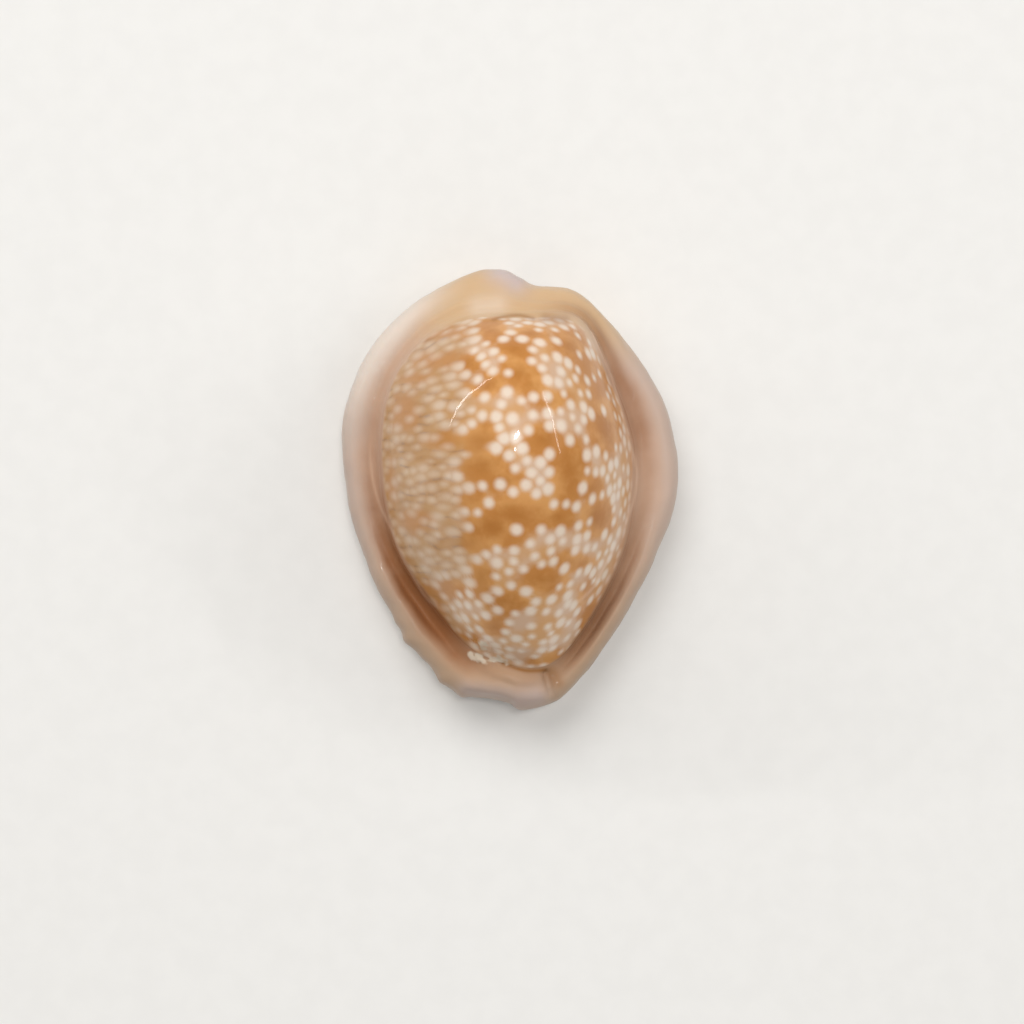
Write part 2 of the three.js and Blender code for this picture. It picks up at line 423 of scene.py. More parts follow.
@dataclass(frozen=True)
class Dome:
    """The domed back, from its crown down to its foot."""

    centre: tuple[float, float] = (-0.09, -0.24)
    crown: tuple[float, float] = (0.28, 2.52)
    fullness: float = 0.93
    crown_across: float = 6.85
    crown_along: float = 9.5
    foot_height: ByBearing = ByBearing(
        (4.3, 4.5, 5.4, 6.2, 5.6, 4.8, 4.4, 4.1, 4.1, 4.9, 4.2, 4.1)
    )
    shares: tuple[float, ...] = (
        0.0, 0.07, 0.14, 0.22, 0.3, 0.38, 0.46, 0.54, 0.62, 0.7, 0.78, 0.85, 0.92,
    )
    steps: int = 7

    def profile(self, share: float) -> float:
        """Height over the foot, from 1 at the crown to 0 at the foot."""
        cut = math.sqrt(1 - self.fullness**2)
        return (math.sqrt(1 - (self.fullness * share) ** 2) - cut) / (1 - cut)

    def plan(self, stations: Stations, share: float, scale: float = 1.0) -> Field:
        """Draws a ring in plan: an ellipse near the crown, the foot's outline at the end.

        Args:
            stations: the stations round the shell.
            share: how far down the dome the ring lies, from 0 to 1.
            scale: size of the ring, less than 1 inside the shell.

        Returns:
            Plan points.
        """
        ellipse = 1 / np.hypot(
            stations.out[:, 0] / self.crown_across, stations.out[:, 1] / self.crown_along
        )
        radius = mix(ellipse, stations.foot_radius, share**2) * scale * share
        middle = mix(np.array(self.crown), np.array(self.centre), share**2)
        return middle + stations.out * radius[:, None]

    def rings(self, stations: Stations) -> list[Ring]:
        """Draws the dome.

        Args:
            stations: the stations round the shell.

        Returns:
            The dome's guiding rings, from its crown down.
        """
        foot = self.foot_height.at(stations.bearing)
        made = []
        for share in self.shares:
            height = mix(foot, DRAWN_HEIGHT, self.profile(share))
            made.append(Ring(stations.ring(self.plan(stations, share), height), share, self.steps))
        return made


@dataclass(frozen=True)
class Margin:
    """The thick callus round the dome: its fillet, trough, crest and widest line."""

    fillet: ByBearing = ByBearing(
        (0.35, 0.35, 0.35, 0.35, 0.35, 0.35, 0.35, 0.35, 0.2, 0.0, 0.15, 0.3)
    )
    trough_height: ByBearing = ByBearing(
        (4.0, 4.15, 5.15, 6.3, 5.5, 4.6, 4.2, 3.65, 3.35, 5.0, 3.5, 3.65)
    )
    crest_height: ByBearing = ByBearing(
        (3.9, 4.0, 4.7, 5.8, 4.9, 4.3, 4.0, 3.9, 4.0, 4.75, 4.0, 3.85)
    )
    edge_height: ByBearing = ByBearing(
        (2.3, 2.4, 2.9, 3.9, 3.0, 2.6, 2.4, 2.3, 2.4, 3.2, 2.4, 2.2)
    )

    shares: tuple[float, ...] = (0.0, 0.13, 0.3, 0.45, 0.62, 0.76, 0.87, 0.94, 0.985, 1.0)
    steps: tuple[int, ...] = (9, 5, 5, 4, 4, 3, 3, 3, 3, 3)
    falls: tuple[float, ...] = (0.08, 0.25, 0.47, 0.74)

    def rings(self, stations: Stations, dome: Dome) -> list[Ring]:
        """Draws the margin.

        Args:
            stations: the stations round the shell.
            dome: the dome that the margin stands round.

        Returns:
            The margin's guiding rings, from the dome's foot to the widest line.
        """
        foot_plan = np.array(dome.centre) + stations.out * stations.foot_radius[:, None]
        foot = dome.foot_height.at(stations.bearing)
        trough = self.trough_height.at(stations.bearing)
        crest = self.crest_height.at(stations.bearing)
        edge = self.edge_height.at(stations.bearing)
        climb = foot + self.fillet.at(stations.bearing)
        inner = [climb, mix(climb, trough, 0.68), trough, mix(trough, crest, 0.62), crest]
        heights = [*inner, *(mix(crest, edge, fall) for fall in self.falls), edge]
        return [
            Ring(stations.ring(mix(foot_plan, stations.edge, share), height), 1 + share, steps)
            for share, height, steps in zip(self.shares, heights, self.steps)
        ]


@dataclass(frozen=True)
class Base:
    """The slightly bulging base, from under the widest line to the lips.

    Insets are millimetres in from the widest line, and rises are shares of its height.
    """

    insets: tuple[float, ...] = (0.08, 0.35, 0.95, 1.9, 3.3)
    rises: tuple[float, ...] = (0.74, 0.46, 0.2, 0.08, 0.02)
    steps: tuple[int, ...] = (3, 4, 4, 5, 6)
    usual_reach: float = 6.5

    def rings(self, stations: Stations, margin: Margin) -> list[Ring]:
        """Draws the base.

        Args:
            stations: the stations round the shell.
            margin: the margin that the base lies under.

        Returns:
            The base's guiding rings, inwards.
        """
        edge = margin.edge_height.at(stations.bearing)
        made = []
        for inset, rise, steps in zip(self.insets, self.rises, self.steps):
            share = (inset * stations.narrowing / stations.reach)[:, None]
            plan = mix(stations.edge, stations.slit, share)
            height = np.maximum(rise * edge, stations.canal)
            made.append(Ring(stations.ring(plan, height), 2 + inset / self.usual_reach, steps))
        return made


@dataclass(frozen=True)
class Lip:
    """One line of the lips: how far it stands back from the slit, and its heights."""

    set_back: float
    gap: float
    tooth: float
    reach: float = 0.0
    lift: float = 0.0
    steps: int = 3


@dataclass(frozen=True)
class Lips:
    """The rounded lips with their teeth, from the base into the slit."""

    lines: tuple[Lip, ...] = (
        Lip(2.6, 0.0, 0.0, steps=5),
        Lip(1.9, 0.05, 0.0),
        Lip(1.35, 0.15, 0.0),
        Lip(0.85, 0.3, 0.02),
        Lip(0.5, 0.48, 0.06),
        Lip(0.25, 0.75, 0.16, reach=0.12, lift=0.02),
        Lip(0.08, 1.1, 0.42, reach=0.28, lift=0.06),
        Lip(0.0, 1.6, 1.1, reach=0.32, lift=0.2),
        Lip(0.06, 2.0, 1.8, reach=0.18, lift=0.35),
        Lip(0.2, 2.4, 2.4, lift=0.5),
    )

    def rings(self, stations: Stations) -> list[Ring]:
        """Draws the lips.

        Args:
            stations: the stations round the shell.

        Returns:
            The lips' guiding rings, from the base into the slit.
        """
        away = stations.edge - stations.slit
        away /= np.linalg.norm(away, axis=1, keepdims=True)
        ridge = stations.ridge
        made = []
        for order, line in enumerate(self.lines):
            plan = (
                stations.slit
                + away * (line.set_back * stations.narrowing)[:, None]
                + stations.inward * (line.reach * ridge)[:, None]
            )
            height = np.maximum(mix(line.gap, line.tooth, ridge), stations.canal + line.lift)
            place = 2.6 + 0.6 * order / len(self.lines)
            made.append(Ring(stations.ring(plan, height), place, line.steps))
        return made


@dataclass(frozen=True)
class Hollow:
    """The lining of the hollow, with the fold that stands up from the columellar lip."""

    share_of_foot: float = 0.84
    foot_rise: float = 1.2
    crown_thickness: float = 1.15
    plain: Points = (
        (0.12, 2.6), (0.3, 2.9), (0.5, 3.2), (0.68, 3.6), (0.84, 4.2), (0.95, 4.9), (0.99, 5.4),
    )
    fold: Points = (
        (0.0, 3.2), (0.02, 4.8), (0.14, 6.2), (0.32, 6.6), (0.44, 5.7), (0.47, 4.3), (0.75, 3.7),
    )
    ceiling: tuple[float, ...] = (1.0, 0.93, 0.78, 0.45, 0.2, 0.0)

    def rings(self, stations: Stations, dome: Dome) -> list[Ring]:
        """Draws the lining of the hollow.

        Args:
            stations: the stations round the shell.
            dome: the dome over the hollow.

        Returns:
            The hollow's guiding rings, which end in a point under the crown.
        """
        radius = (stations.foot_radius * self.share_of_foot)[:, None]
        widest = np.array(dome.centre) + stations.out * radius
        made = []
        for order, (plain, fold) in enumerate(zip(self.plain, self.fold)):
            share = mix(plain[0], fold[0], stations.fold)[:, None]
            height = np.maximum(mix(plain[1], fold[1], stations.fold), stations.canal + 0.6)
            plan = mix(stations.slit, widest, share)
            made.append(Ring(stations.ring(plan, height), 3.3 + 0.1 * order, 2))
        start = dome.foot_height.at(stations.bearing) + self.foot_rise
        top = DRAWN_HEIGHT - self.crown_thickness
        for share in self.ceiling:
            plan = dome.plan(stations, share, self.share_of_foot)
            height = mix(start, top, dome.profile(share))
            made.append(Ring(stations.ring(plan, height), 5.0 - share, 2))
        return made


# The skin and its relief


@dataclass
class Skin:
    """The skin as a grid of points: a row for each mesh ring, a column for each station."""

    points: Field
    place: Field

    @classmethod
    def over(cls, rings: Sequence[Ring]) -> "Skin":
        """Draws the skin smoothly over its guiding rings.

        Args:
            rings: guiding rings in order; the first and last are points.

        Returns:
            The skin.
        """
        lines = [ring.points for ring in rings]
        opposite = (-1.0, -1.0, 1.0)
        before = (lines[1] - lines[0]) * opposite + lines[0]
        after = (lines[-2] - lines[-1]) * opposite + lines[-1]
        lines = [before, *lines, after]
        rows, places = [], []
        for order, ring in enumerate(rings[1:]):
            for share in np.arange(ring.steps) / ring.steps:
                rows.append(through(*lines[order : order + 4], share))
                places.append(mix(rings[order].place, ring.place, share))
        rows.append(rings[-1].points)
        places.append(rings[-1].place)
        return cls(np.array(rows), np.array(places))

    @property
    def spread(self) -> Field:
        """The place of every grid point, on the whole grid."""
        return np.repeat(self.place[:, None], self.points.shape[1], axis=1)

    def normals(self) -> Field:
        """Works the normals out.

        Returns:
            Unit normals on the grid, which point out of the solid.
        """
        down = np.gradient(self.points, axis=0)
        along = np.roll(self.points, -1, axis=1) - np.roll(self.points, 1, axis=1)
        normal = np.cross(down, along)
        normal /= np.maximum(np.linalg.norm(normal, axis=2, keepdims=True), 1e-12)
        normal[0] = (0.0, 0.0, 1.0)
        normal[-1] = (0.0, 0.0, -1.0)
        return normal

    def ripple(self, size: float, seed: float) -> Field:
        """Smooth noise at every grid point, about -1 to 1.

        Args:
            size: width of a lump.
            seed: picks the pattern.

        Returns:
            The noise on the grid.
        """
        shift = Vector((seed, 2.0 * seed, -seed))
        flat = self.points.reshape(-1, 3) / size
        values = [noise.noise(Vector(point) + shift) for point in flat]
        return np.array(values).reshape(self.points.shape[:2])

    def along(self, points: Points, width: float) -> Field:
        """A soft stroke in plan along a smooth line.

        Args:
            points: plan points that the line goes through.
            width: how far from the line the stroke fades.

        Returns:
            The stroke on the grid, 1 on the line.
        """
        corners = np.array([points[0], *points, points[-1]], dtype=float)
        corners[0] -= 0.5 * (corners[2] - corners[1])
        corners[-1] += 0.5 * (corners[-2] - corners[-3])
        share = np.linspace(0.0, 1.0, 5)[:-1, None]
        line = [through(*corners[step : step + 4], share) for step in range(len(points) - 1)]
        line = np.vstack([*line, corners[-2:-1]])
        stroke = np.zeros(self.points.shape[:2])
        for start, end in zip(line, line[1:]):
            stroke = np.maximum(stroke, self.near(start, end, width))
        return stroke

    def near(self, start: Sequence[float], end: Sequence[float], width: float) -> Field:
        """A soft stroke in plan along a straight line.

        Args:
            start: where the line starts.
            end: where it ends, which may be the same place.
            width: how far from the line the stroke fades.

        Returns:
            The stroke on the grid, 1 on the line.
        """
        first, run = np.array(start), np.subtract(end, start)
        plan = self.points[..., :2] - first
        share = np.clip(plan @ run / max(float(run @ run), 1e-9), 0.0, 1.0)
        gap = np.linalg.norm(plan - share[..., None] * run, axis=2)
        return np.exp(-((gap / width) ** 2))


@dataclass(frozen=True)
class Crust:
    """The whitish crust that sits in the crease at the anterior end of the dome.

    Each streak has the plan points where it starts and ends, and a width.
    """

    streaks: tuple[tuple[float, float, float, float, float], ...] = (
        (-1.65, -8.4, -1.4, -8.45, 0.27),
        (-2.15, -9.0, -1.5, -9.2, 0.2),
        (-1.7, -9.3, -0.7, -9.15, 0.22),
        (-0.9, -9.05, -0.2, -9.35, 0.18),
    )

    def cover(self, skin: Skin) -> Field:
        """Lays the crust.

        Args:
            skin: the skin that it lies on.

        Returns:
            How thick it lies at every point, from 0 to 1.
        """
        cover = np.zeros(skin.spread.shape)
        for x, y, to_x, to_y, width in self.streaks:
            cover = np.maximum(cover, skin.near((x, y), (to_x, to_y), width))
        ragged = 0.85 + 1.1 * skin.ripple(0.3, 2.5)
        return np.clip(cover * ragged, 0.0, 1.0) * smoothstep(skin.spread, 1.4, 1.2)


@dataclass(frozen=True)
class BorderReflection:
    """A thin pale line painted along the dome's border, where a lamp's edge shows as a reflection
    in the gloss.
    """

    right: Points = (
        (4.4, 8.4), (5.5, 6.0), (6.35, 2.8), (6.85, 1.1), (6.75, -0.4), (6.35, -1.6),
        (5.75, -2.9), (5.1, -4.1), (4.5, -5.2), (3.7, -6.0),
    )
    left: Points = (
        (-7.65, 3.3), (-7.6, 1.6), (-7.4, 0.2), (-7.0, -1.1), (-6.4, -2.3), (-5.9, -3.6),
        (-5.2, -4.9), (-4.5, -6.0), (-3.6, -6.6),
    )
    width: float = 0.085

    def line(self, skin: Skin) -> Field:
        """Draws the line, which fades out on the labral side.

        Args:
            skin: the skin that it lies on.

        Returns:
            How strongly it shows at every point, from 0 to 1.
        """
        faint = smoothstep(skin.points[..., 1], 3.4, 0.6)
        left = skin.along(self.left, self.width) * 0.8 * faint
        line = np.maximum(skin.along(self.right, self.width), left)
        return line * smoothstep(skin.spread, 1.8, 1.7)


@dataclass(frozen=True)
class Relief:
    """The small rises and hollows that growth leaves on the skin.

    Each nub on the rim has a plan point and a height.
    """

    dome_swell: float = 0.05
    dome_grain: float = 0.009
    margin_swell: float = 0.07
    layer_rise: float = 0.012
    layers: float = 4.5
    groove_depth: float = 0.3
    block_rise: float = 0.22
    pad_rise: float = 0.07
    crust_rise: float = 0.1
    border_ridge_rise: float = 0.02
    nub_width: float = 0.36
    nubs: tuple[tuple[float, float, float], ...] = (
        (-5.75, -8.3, 0.14),
        (-6.35, -7.3, 0.08),
        (-4.75, -9.3, 0.06),
        (-3.75, -10.45, 0.1),
        (-2.65, -11.25, 0.07),
        (0.6, -11.95, 0.04),
    )

    def press(self, skin: Skin, stations: Stations) -> None:
        """Moves the skin's points along their normals.

        Args:
            skin: the smooth skin, which is changed.
            stations: the stations that the skin's columns stand on.
        """
        place = skin.spread
        dome = smoothstep(place, 1.0, 0.85)
        margin = smoothstep(place, 1.02, 1.3) * smoothstep(place, 2.3, 2.0)
        upper = smoothstep(place, 1.02, 1.1) * smoothstep(place, 1.95, 1.7)
        labral = smoothstep(np.cos(stations.bearing - math.pi), 0.35, 0.85)[None, :]
        swell = self.dome_swell * skin.ripple(3.1, 4.0)
        rise = dome * (swell + self.dome_grain * skin.ripple(0.85, 2.0))
        rise += self.margin_swell * margin * skin.ripple(1.7, 9.0)
        rise += 0.3 * self.margin_swell * margin * skin.ripple(0.6, 5.0)
        wave = np.sin(FULL_TURN * self.layers * (place - 1) + 0.9 * skin.ripple(2.5, 2.0))
        rise += self.layer_rise * labral * upper * wave
        rise -= self.groove_depth * upper * skin.near((1.95, -10.0), (2.35, -11.6), 0.2)
        rise += self.block_rise * upper * skin.near((-2.2, -10.5), (1.2, -10.9), 0.7)
        rise += self.pad_rise * upper * skin.near((-1.6, 9.75), (-0.6, 9.85), 0.5)
        rise += self.crust_rise * Crust().cover(skin) * (0.6 + skin.ripple(0.25, 3.0))
        # a slight ridge along the painted reflection line
        rise += self.border_ridge_rise * BorderReflection().line(skin)
        rim = smoothstep(place, 1.5, 1.9) * smoothstep(place, 2.5, 2.15)
        for x, y, height in self.nubs:
            rise += height * rim * skin.near((x, y), (x, y), self.nub_width)
        skin.points += skin.normals() * rise[..., None]


# Markings, and painted light and shade


@dataclass(frozen=True)
class Patch:
    """A soft brown patch on the dome: its place in plan and its half sizes."""

    x: float
    y: float
    across: float
    along: float


@dataclass(frozen=True)
class Blotches:
    """The golden-brown patches of the dome, laid out where this shell has them."""

    patches: tuple[Patch, ...] = (
        Patch(-1.0, 8.3, 0.7, 0.6), Patch(0.2, 7.3, 0.8, 0.7), Patch(1.0, 8.1, 0.8, 0.5),
        Patch(3.1, 7.6, 0.8, 0.8), Patch(3.9, 6.5, 0.5, 0.9), Patch(4.7, 5.2, 0.5, 1.1),
        Patch(5.0, 3.2, 0.8, 1.3), Patch(-2.2, 6.5, 0.7, 0.5), Patch(-1.2, 5.4, 0.9, 0.6),
        Patch(0.5, 6.0, 0.9, 0.7), Patch(1.1, 5.3, 0.8, 0.5), Patch(2.1, 4.5, 0.8, 0.5),
        Patch(-4.0, 6.8, 1.2, 0.5), Patch(-3.3, 8.3, 1.3, 0.35), Patch(-5.0, 5.9, 0.9, 0.35),
        Patch(-5.6, 4.1, 0.7, 1.0), Patch(-3.3, 2.5, 1.0, 0.5), Patch(-1.5, 2.4, 0.9, 0.8),
        Patch(-1.3, 1.2, 1.1, 0.8), Patch(1.7, 2.5, 0.9, 0.7), Patch(3.1, 0.9, 0.9, 1.5),
        Patch(-0.3, 0.4, 1.0, 0.6), Patch(-1.9, -0.6, 0.7, 0.6), Patch(0.4, -1.3, 1.7, 0.9),
        Patch(-0.8, -2.1, 1.4, 0.9), Patch(-2.0, -2.8, 0.6, 0.6), Patch(2.5, -1.5, 0.9, 0.6),
        Patch(4.6, -1.5, 0.8, 1.0), Patch(4.3, 0.0, 0.6, 0.6), Patch(3.3, -3.9, 0.9, 0.5),
        Patch(1.7, -4.8, 1.1, 0.6), Patch(-1.6, -4.7, 0.6, 1.0), Patch(-0.2, -6.0, 0.9, 0.6),
        Patch(-0.9, -7.3, 0.6, 0.5), Patch(4.2, -6.3, 0.5, 1.4), Patch(2.2, -9.2, 0.9, 0.4),
        Patch(-5.1, -1.7, 0.9, 0.6), Patch(-3.7, -5.4, 1.2, 0.5), Patch(-4.1, -6.8, 0.6, 1.2),
        Patch(-2.7, -8.4, 0.9, 0.6), Patch(-6.4, 0.2, 0.3, 1.2),
    )
    swell: float = 1.22
    far: float = 2.0

    def depth(self, skin: Skin) -> Field:
        """Measures the patches.

        Args:
            skin: the skin that they lie on.

        Returns:
            How deep inside a patch every point lies, in millimetres, less than 0 outside.
        """
        plan = skin.points[..., :2]
        deepest = np.full(plan.shape[:2], -self.far)
        for patch in self.patches:
            size = np.array((patch.across, patch.along)) * self.swell
            offset = (plan - (patch.x, patch.y)) / size
            depth = (1 - np.linalg.norm(offset, axis=2)) * size.min()
            deepest = np.maximum(deepest, depth)
        return deepest


@dataclass(frozen=True)
class Spots:
    """The round pale spots of the dome, strewn evenly, and drawn out on the labral side."""

    spacing: float = 0.64
    radius: float = 0.252
    radius_spread: float = 0.075
    drawn_radius: float = 0.17
    stretch: float = 1.3
    row_pitch: float = 0.47
    row_play: float = 0.07
    row_spacing: float = 0.58
    row_sway: float = 0.75
    row_tilt: float = 0.4
    strict_rows_from: float = 0.4
    last_place: float = 1.06
    closest: float = 0.92
    sparse: float = 2.4
    bare_depth: float = 0.55
    far: float = 0.6
    seed: int = 11

    def gap(self, skin: Skin, brown: Field, smear: Field) -> Field:
        """How far every point lies outside its nearest spot, less than 0 inside.

        Args:
            skin: the skin.
            brown: depth inside the brown patches.
            smear: 1 where the spots are drawn out, on the labral side.

        Returns:
            The gap on the grid, in millimetres.
        """
        rows = skin.place < self.last_place
        points = skin.points[rows].reshape(-1, 3)
        taken = brown[rows].ravel()
        drawn = smear[rows].ravel()
        chance = np.random.default_rng(self.seed)
        centres = self._strew(points, taken, drawn, self.row(skin)[rows].ravel(), chance)
        radii = mix(self.radius, self.drawn_radius, drawn[centres])
        radii += self.radius_spread * chance.uniform(-1.0, 1.0, len(centres))
        shortest = np.full(len(points), self.far)
        across = 1 / (1 + self.stretch * drawn)
        for centre, radius in zip(points[centres], radii):
            offset = points - centre
            flat = np.hypot(offset[:, 0], offset[:, 2]) * across
            gap = np.hypot(flat, offset[:, 1]) - radius
            shortest = np.minimum(shortest, gap)
        whole = np.full(skin.spread.shape, self.far)
        whole[rows] = shortest.reshape(rows.sum(), -1)
        return whole

    def row(self, skin: Skin) -> Field:
        """Numbers the rows of the drawn-out spots, which tilt near the posterior end.

        Args:
            skin: the skin that they lie on.

        Returns:
            The number on the grid, which is whole along the middle of a row.
        """
        x, y = skin.points[..., 0], skin.points[..., 1]
        slope = self.row_tilt * smoothstep(y, 3.0, 8.0)
        return (y - slope * (x + 4.0)) / self.row_pitch + self.row_sway * skin.ripple(1.5, 8.0)

    def _strew(
        self, points: Field, brown: Field, smear: Field, row: Field, chance: np.random.Generator
    ) -> list[int]:
        """Picks spot centres that keep their distance and stay off the brown.

        Args:
            points: where a spot may stand.
            brown: depth inside the brown patches.
            smear: where the spots are drawn out.
            row: which row each point stands on.
            chance: source of chance numbers.

        Returns:
            Indices of the chosen points.
        """
        order = chance.permutation(len(points))
        thin = 1 + self.sparse * np.clip(brown, 0.0, 0.6)
        spare = mix(self.spacing * thin, self.row_spacing * (1 + 0.5 * (thin - 1)), smear)
        spare *= chance.uniform(self.closest, mix(1.2, 1.6, smear))
        in_row = np.abs(row - np.rint(row)) * self.row_pitch < self.row_play
        free = (brown < self.bare_depth) & (in_row | (smear < self.strict_rows_from))
        chosen: list[int] = []
        found = np.empty((0, 3))
        for index in order[free[order]]:
            apart = np.linalg.norm(found - points[index], axis=1)
            if len(chosen) == 0 or apart.min() > spare[index]:
                chosen.append(int(index))
                found = np.vstack([found, points[index]])
        return chosen


@dataclass(frozen=True)
class Pigment:
    """Where the other colours of the shell lie, and the painted light and shade."""

    # how dark the troughs are: partly the shell's own brown, partly painted shade
    trough: ByBearing = ByBearing(
        (0.36, 0.58, 0.56, 0.05, 0.1, 0.35, 0.58, 0.88, 1.0, 0.3, 0.62, 0.52)
    )
    border: ByBearing = ByBearing(
        (0.975, 0.98, 0.95, 0.925, 0.985, 0.99, 0.98, 0.98, 0.985, 1.0, 0.99, 0.98)
    )
    smear_start: float = -1.0
    smear_full: float = -4.0
    veil_from: float = 0.92

    def fields(self, skin: Skin, stations: Stations) -> dict[str, Field]:
        """Works the colour fields out.

        Args:
            skin: the skin in relief.
            stations: the stations that its columns stand on.

        Returns:
            A field for each attribute, keyed by its name.
        """
        place = skin.spread
        x, y = skin.points[..., 0], skin.points[..., 1]
        wander = 1.2 * skin.ripple(1.5, 7.0) + 1.1 * skin.ripple(3.6, 3.0)
        smear = smoothstep(x + wander, self.smear_start, self.smear_full)
        brown = Blotches().depth(skin)
        bowl = smoothstep(place, 1.85, 1.25) * smoothstep(place, 0.93, 1.02)
        border = place - self.border.at(stations.bearing)[None, :]
        # lighter on the labral side towards the posterior: painted light, partly the callus's own
        # paler tone
        rim = smoothstep(place, 1.15, 1.85) * smoothstep(y, 1.0, 8.0) * smoothstep(x, -2.0, -6.0)
        pad = 0.45 * skin.near((-1.7, 9.75), (-0.7, 9.85), 0.6)
        ends = skin.near((-0.5, 11.8), (0.3, 11.3), 0.8)
        ends = np.maximum(ends, 0.6 * skin.near((0.4, -11.5), (1.4, -11.3), 0.7))
        ends = np.maximum(ends, 0.5 * skin.near((-2.4, -10.9), (0.0, -11.2), 0.5))
        return {
            "place": place,
            "border": border,
            # painted reflection: a thin pale line along the dome's border
            "border_reflection": BorderReflection().line(skin),
            # painted shade in the creases at both ends of the dome
            "painted_crease_shade": self._painted_crease_shade(skin),
            "spot": Spots().gap(skin, brown, smear),
            "row": Spots().row(skin),
            "brown": brown,
            "smear": smear,
            # the troughs round the dome: partly the shell's own brown, partly painted shade
            "trough": bowl * self.trough.at(stations.bearing)[None, :],
            "lilac": ends * smoothstep(place, 1.05, 1.2),
            "cream": smoothstep(y, 6.0, 9.6) * smoothstep(x, -7.0, -3.0),
            # painted light on the labral margin, and the pale pad behind
            "pale": np.maximum(rim, pad),
            # darker towards the anterior end: painted shade, partly the callus's own darker tone
            "front_tone_and_shade": smoothstep(y, 1.0, -10.0),
            "veil": smoothstep(place, self.veil_from, 1.0)
            * smoothstep(x, -7.5, 3.0)
            * smoothstep(y, -8.5, -6.0),
            "tooth": np.broadcast_to(stations.ridge, place.shape) * smoothstep(place, 2.6, 2.9),
            "crust": Crust().cover(skin),
        }

    def _painted_crease_shade(self, skin: Skin) -> Field:
        """Paints shade into the creases where the callus meets the dome at both ends.

        Args:
            skin: the skin in relief.

        Returns:
            How dark the painted shade is at every point, from 0 to 1.
        """
        painted_crease_shade = 0.75 * skin.along(((-0.9, 8.98), (-0.2, 9.2), (0.5, 9.26), (1.2, 9.06)), 0.13)
        painted_crease_shade = np.maximum(painted_crease_shade, 0.7 * skin.near((1.9, 9.1), (2.9, 9.05), 0.32))
        painted_crease_shade = np.maximum(painted_crease_shade, skin.along(((-0.4, -9.4), (0.8, -9.8), (1.9, -9.8)), 0.12))
        return np.maximum(painted_crease_shade, 0.6 * skin.near((2.2, -9.9), (2.6, -10.5), 0.3))


# Shader tools


class Signal:
    """A number that varies over the surface, with the operators of ordinary maths."""

    def __init__(self, sheet: "Sheet", socket: bpy.types.NodeSocket) -> None:
        """Wraps a socket of a sheet."""
        self.sheet = sheet
        self.socket = socket

    def _math(self, operation: str, *values: "Signal | float") -> "Signal":
        """Adds a Math node that works on these values."""
        node = self.sheet.add("ShaderNodeMath", {"operation": operation}, dict(enumerate(values)))
        return Signal(self.sheet, node.outputs[0])

    def __add__(self, other: "Signal | float") -> "Signal":
        """Sum, which is the same from either side."""
        return self._math("ADD", self, other)

    def __sub__(self, other: "Signal | float") -> "Signal":
        """Difference."""
        return self._math("SUBTRACT", self, other)

    def __rsub__(self, other: float) -> "Signal":
        """Difference from a number on the left."""
        return self._math("SUBTRACT", other, self)

    def __mul__(self, other: "Signal | float") -> "Signal":
        """Product, which is the same from either side."""
        return self._math("MULTIPLY", self, other)

    __radd__, __rmul__ = __add__, __mul__

    def cosine(self) -> "Signal":
        """Cosine of the number, in radians."""
        return self._math("COSINE", self)

    def step(self, low: float, high: float) -> "Signal":
        """Eased step from 0 at one value to 1 at another.

        Args:
            low: value that gives 0.
            high: value that gives 1, above or below the first.

        Returns:
            The step.
        """
        node = self.sheet.add(
            "ShaderNodeMapRange",
            {"interpolation_type": "SMOOTHSTEP"},
            {"Value": self, "From Min": low, "From Max": high},
        )
        return Signal(self.sheet, node.outputs["Result"])


def paint(red: int, green: int, blue: int) -> Paint:
    """A colour from its display values, 0 to 255, as the shader takes it."""
    linear = (((part / 255 + 0.055) / 1.055) ** 2.4 for part in (red, green, blue))
    return (*linear, 1.0)


